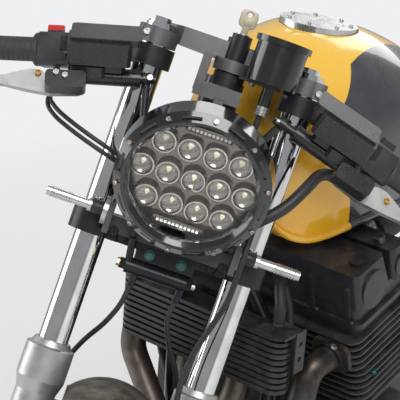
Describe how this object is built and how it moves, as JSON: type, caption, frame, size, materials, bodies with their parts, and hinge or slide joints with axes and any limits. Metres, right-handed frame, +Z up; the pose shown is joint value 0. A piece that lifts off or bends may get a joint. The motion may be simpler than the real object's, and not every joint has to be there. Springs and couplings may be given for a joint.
{
  "type": "cafe racer motorcycle",
  "caption": "Cafe racer motorcycle with a round multi-lens LED headlight, clip-on bars and a yellow tank, parked leaning on its side stand with the steering turned.",
  "frame": {"origin": "centre of the bounding box on the ground that both tyres and the stand touch", "axes": "+Z up, +X to the rider's left, +Y towards the rear wheel"},
  "size_m": [0.6875, 2.0011, 1.0209],
  "materials": {
    "filter_gauze": "matte",
    "yoke_black": "satin",
    "hose_rubber": "matte",
    "reservoir_black": "satin",
    "splitter_black": "satin",
    "aluminium": "cast",
    "chain_steel": "oiled",
    "engine_black": "satin",
    "exhaust_steel": "heat-dulled",
    "bright_metal": "satin",
    "machined_aluminium": "machined",
    "chrome": "polished",
    "black_paint": "satin",
    "steel": "satin",
    "caliper_black": "satin",
    "disc_steel": "ground",
    "mudguard_plastic": "dusty",
    "wheel_black": "satin",
    "tyre": "matte",
    "tank_paint": "gloss",
    "grip_rubber": "matte",
    "bar_black": "satin",
    "gloss_black": "gloss",
    "bracket_grey": "anodised",
    "clear_glass": "clear",
    "lamp_interior": "smoked",
    "key_head": "worn",
    "lever_silver": "satin",
    "cooler_black": "satin",
    "projector_glass": "clear",
    "seat_leather": "matte",
    "switch_plastic": "matte",
    "shock_chrome": "polished",
    "exhaust_black": "matte",
    "tail_lens": "gloss",
    "yoke_grey": "satin"
  },
  "bodies": {
    "chassis": {"frame": "black_paint", "subframe": "black_paint", "crankcase": "engine_black", "engine_covers": "engine_black", "cylinder_block": "engine_black", "cylinder_head": "engine_black", "valve_cover": "engine_black", "carburettors": "aluminium", "air_filters": "filter_gauze", "exhaust_headers": "exhaust_steel", "silencer": "exhaust_black", "oil_cooler": "cooler_black", "oil_lines": "hose_rubber", "footrests": "machined_aluminium", "fuel_tank": "tank_paint", "filler_ring": "bright_metal", "seat_base": "switch_plastic", "seat": "seat_leather", "tail_cowl": "tank_paint", "tail_light": "tail_lens", "swingarm": "black_paint", "rear_axle": "steel", "shocks": "shock_chrome", "chain": "chain_steel", "front_sprocket": "chain_steel"},
    "steering": {"brake_splitter": "splitter_black", "brake_hoses": "hose_rubber", "control_cables": "hose_rubber", "front_calipers": "caliper_black", "bottom_yoke": "yoke_black", "top_yoke": "yoke_grey", "fork_tubes": "chrome", "fork_sliders": "aluminium", "front_axle": "steel", "front_mudguard": "mudguard_plastic", "headlight_bezel": "gloss_black", "headlight_shell": "gloss_black", "headlight_lens": "clear_glass", "headlight_reflector": "lamp_interior", "projector_lenses": "projector_glass", "headlight_bracket": "bracket_grey", "indicator_stalks": "machined_aluminium", "handlebars": "bar_black", "grips": "grip_rubber", "switch_housings": "switch_plastic", "brake_master_cylinder": "reservoir_black", "clutch_master_cylinder": "reservoir_black", "levers": "lever_silver", "speedometer": "gloss_black", "ignition_switch": "bar_black", "ignition_key": "key_head"},
    "front_wheel": {"front_tyre": "tyre", "front_rim": "wheel_black", "front_discs": "disc_steel"},
    "rear_wheel": {"rear_tyre": "tyre", "rear_rim": "wheel_black", "rear_disc": "disc_steel", "rear_sprocket": "chain_steel"},
    "side_stand": {"side_stand": "black_paint"},
    "filler_cap": {"filler_cap": "bright_metal"}
  },
  "joints": [
    {"name": "steering", "type": "hinge", "parent": "chassis", "child": "steering", "pos_m": [-0.00885, -0.51657, 0.69591], "axis": [0.1812, 0.417, 0.8907], "range_deg": [-72, 0]},
    {"name": "front_wheel_spin", "type": "hinge", "parent": "steering", "child": "front_wheel", "pos_m": [-0.07387, -0.74373, 0.27316], "axis": [0.7439, 0.5342, -0.4015], "continuous": true},
    {"name": "rear_wheel_spin", "type": "hinge", "parent": "chassis", "child": "rear_wheel", "pos_m": [-0.08612, 0.68, 0.31612], "axis": [0.9799, 0, -0.1994], "continuous": true},
    {"name": "side_stand_fold", "type": "hinge", "parent": "chassis", "child": "side_stand", "pos_m": [0.03732, -0.01435, 0.18048], "axis": [0.7617, -0.1592, 0.6281], "range_deg": [0, 110.8]},
    {"name": "filler_cap_hinge", "type": "hinge", "parent": "chassis", "child": "filler_cap", "pos_m": [0.04375, -0.16299, 0.95445], "axis": [-0.9799, 0, 0.1994], "range_deg": [0, 95]}
  ]
}
